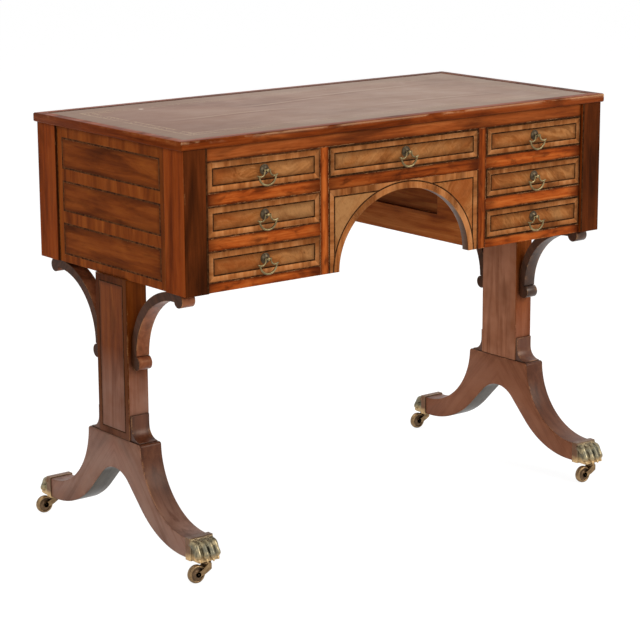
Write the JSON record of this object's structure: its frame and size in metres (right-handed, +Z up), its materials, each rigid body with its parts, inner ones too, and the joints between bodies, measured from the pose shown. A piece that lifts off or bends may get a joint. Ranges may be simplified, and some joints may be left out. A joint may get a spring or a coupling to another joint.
{
  "type": "writing table",
  "caption": "Kneehole writing table in mahogany with a leather top, ring-pull drawers, an arched apron and column ends on sabre legs with brass paw casters.",
  "frame": {"origin": "on the floor under the middle of the top", "axes": "+X along the width, +Y from the drawers to the back, +Z up"},
  "size_m": [0.9916, 0.5304, 0.762],
  "materials": {
    "mahogany": "polished",
    "veneer": "polished veneer",
    "lining": "bare",
    "leather": "aged",
    "brass": "antique"
  },
  "bodies": {
    "table": {"top_core": "mahogany", "top_border": "mahogany", "corner_posts": "mahogany", "back_panel": "mahogany", "frieze_rail": "mahogany", "drawer_rails": "mahogany", "mullions": "mahogany", "kneehole_side_left": "mahogany", "kneehole_side_right": "mahogany", "column_left": "mahogany", "column_right": "mahogany", "leg_left_front": "mahogany", "leg_left_back": "mahogany", "leg_right_front": "mahogany", "leg_right_back": "mahogany", "foot_coves": "mahogany", "brackets": "mahogany", "end_panel_left": "veneer", "end_panel_right": "veneer", "arch_apron": "veneer", "leather_inset": "leather", "dust_boards": "lining", "drawer_guides": "lining", "paw_caps": "brass"},
    "drawer_centre": {"drawer_centre_front": "veneer", "drawer_centre_box": "lining", "drawer_centre_rose": "brass"},
    "ring_centre": {"drawer_centre_ring": "brass"},
    "drawer_left_1": {"drawer_left_1_front": "veneer", "drawer_left_1_box": "lining", "drawer_left_1_rose": "brass"},
    "ring_left_1": {"drawer_left_1_ring": "brass"},
    "drawer_left_2": {"drawer_left_2_front": "veneer", "drawer_left_2_box": "lining", "drawer_left_2_rose": "brass"},
    "ring_left_2": {"drawer_left_2_ring": "brass"},
    "drawer_left_3": {"drawer_left_3_front": "veneer", "drawer_left_3_box": "lining", "drawer_left_3_rose": "brass"},
    "ring_left_3": {"drawer_left_3_ring": "brass"},
    "drawer_right_1": {"drawer_right_1_front": "veneer", "drawer_right_1_box": "lining", "drawer_right_1_rose": "brass"},
    "ring_right_1": {"drawer_right_1_ring": "brass"},
    "drawer_right_2": {"drawer_right_2_front": "veneer", "drawer_right_2_box": "lining", "drawer_right_2_rose": "brass"},
    "ring_right_2": {"drawer_right_2_ring": "brass"},
    "drawer_right_3": {"drawer_right_3_front": "veneer", "drawer_right_3_box": "lining", "drawer_right_3_rose": "brass"},
    "ring_right_3": {"drawer_right_3_ring": "brass"},
    "caster_left_front": {"caster_left_front_fork": "brass"},
    "wheel_left_front": {"caster_left_front_wheel": "brass"},
    "caster_left_back": {"caster_left_back_fork": "brass"},
    "wheel_left_back": {"caster_left_back_wheel": "brass"},
    "caster_right_front": {"caster_right_front_fork": "brass"},
    "wheel_right_front": {"caster_right_front_wheel": "brass"},
    "caster_right_back": {"caster_right_back_fork": "brass"},
    "wheel_right_back": {"caster_right_back_wheel": "brass"}
  },
  "joints": [
    {"name": "drawer_centre_slide", "type": "slide", "parent": "table", "child": "drawer_centre", "axis": [0, -1, 0], "range_m": [0, 0.29]},
    {"name": "ring_centre_hinge", "type": "hinge", "parent": "drawer_centre", "child": "ring_centre", "pos_m": [0, -0.238, 0.698], "axis": [-1, 0, 0], "range_deg": [-12, 150]},
    {"name": "drawer_left_1_slide", "type": "slide", "parent": "table", "child": "drawer_left_1", "axis": [0, -1, 0], "range_m": [0, 0.29]},
    {"name": "ring_left_1_hinge", "type": "hinge", "parent": "drawer_left_1", "child": "ring_left_1", "pos_m": [-0.315, -0.238, 0.698], "axis": [-1, 0, 0], "range_deg": [-12, 150]},
    {"name": "drawer_left_2_slide", "type": "slide", "parent": "table", "child": "drawer_left_2", "axis": [0, -1, 0], "range_m": [0, 0.29]},
    {"name": "ring_left_2_hinge", "type": "hinge", "parent": "drawer_left_2", "child": "ring_left_2", "pos_m": [-0.315, -0.238, 0.621], "axis": [-1, 0, 0], "range_deg": [-12, 150]},
    {"name": "drawer_left_3_slide", "type": "slide", "parent": "table", "child": "drawer_left_3", "axis": [0, -1, 0], "range_m": [0, 0.29]},
    {"name": "ring_left_3_hinge", "type": "hinge", "parent": "drawer_left_3", "child": "ring_left_3", "pos_m": [-0.315, -0.238, 0.544], "axis": [-1, 0, 0], "range_deg": [-12, 150]},
    {"name": "drawer_right_1_slide", "type": "slide", "parent": "table", "child": "drawer_right_1", "axis": [0, -1, 0], "range_m": [0, 0.29]},
    {"name": "ring_right_1_hinge", "type": "hinge", "parent": "drawer_right_1", "child": "ring_right_1", "pos_m": [0.315, -0.238, 0.698], "axis": [-1, 0, 0], "range_deg": [-12, 150]},
    {"name": "drawer_right_2_slide", "type": "slide", "parent": "table", "child": "drawer_right_2", "axis": [0, -1, 0], "range_m": [0, 0.29]},
    {"name": "ring_right_2_hinge", "type": "hinge", "parent": "drawer_right_2", "child": "ring_right_2", "pos_m": [0.315, -0.238, 0.621], "axis": [-1, 0, 0], "range_deg": [-12, 150]},
    {"name": "drawer_right_3_slide", "type": "slide", "parent": "table", "child": "drawer_right_3", "axis": [0, -1, 0], "range_m": [0, 0.29]},
    {"name": "ring_right_3_hinge", "type": "hinge", "parent": "drawer_right_3", "child": "ring_right_3", "pos_m": [0.315, -0.238, 0.544], "axis": [-1, 0, 0], "range_deg": [-12, 150]},
    {"name": "caster_left_front_swivel", "type": "hinge", "parent": "table", "child": "caster_left_front", "pos_m": [-0.463, -0.25, 0.0355], "axis": [0, 0, 1], "continuous": true},
    {"name": "wheel_left_front_roll", "type": "hinge", "parent": "caster_left_front", "child": "wheel_left_front", "pos_m": [-0.485, -0.25, 0.0165], "axis": [0, 1, 0], "continuous": true},
    {"name": "caster_left_back_swivel", "type": "hinge", "parent": "table", "child": "caster_left_back", "pos_m": [-0.463, 0.25, 0.0355], "axis": [0, 0, 1], "continuous": true},
    {"name": "wheel_left_back_roll", "type": "hinge", "parent": "caster_left_back", "child": "wheel_left_back", "pos_m": [-0.485, 0.25, 0.0165], "axis": [0, 1, 0], "continuous": true},
    {"name": "caster_right_front_swivel", "type": "hinge", "parent": "table", "child": "caster_right_front", "pos_m": [0.463, -0.25, 0.0355], "axis": [0, 0, 1], "continuous": true},
    {"name": "wheel_right_front_roll", "type": "hinge", "parent": "caster_right_front", "child": "wheel_right_front", "pos_m": [0.441, -0.25, 0.0165], "axis": [0, 1, 0], "continuous": true},
    {"name": "caster_right_back_swivel", "type": "hinge", "parent": "table", "child": "caster_right_back", "pos_m": [0.463, 0.25, 0.0355], "axis": [0, 0, 1], "continuous": true},
    {"name": "wheel_right_back_roll", "type": "hinge", "parent": "caster_right_back", "child": "wheel_right_back", "pos_m": [0.441, 0.25, 0.0165], "axis": [0, 1, 0], "continuous": true}
  ]
}
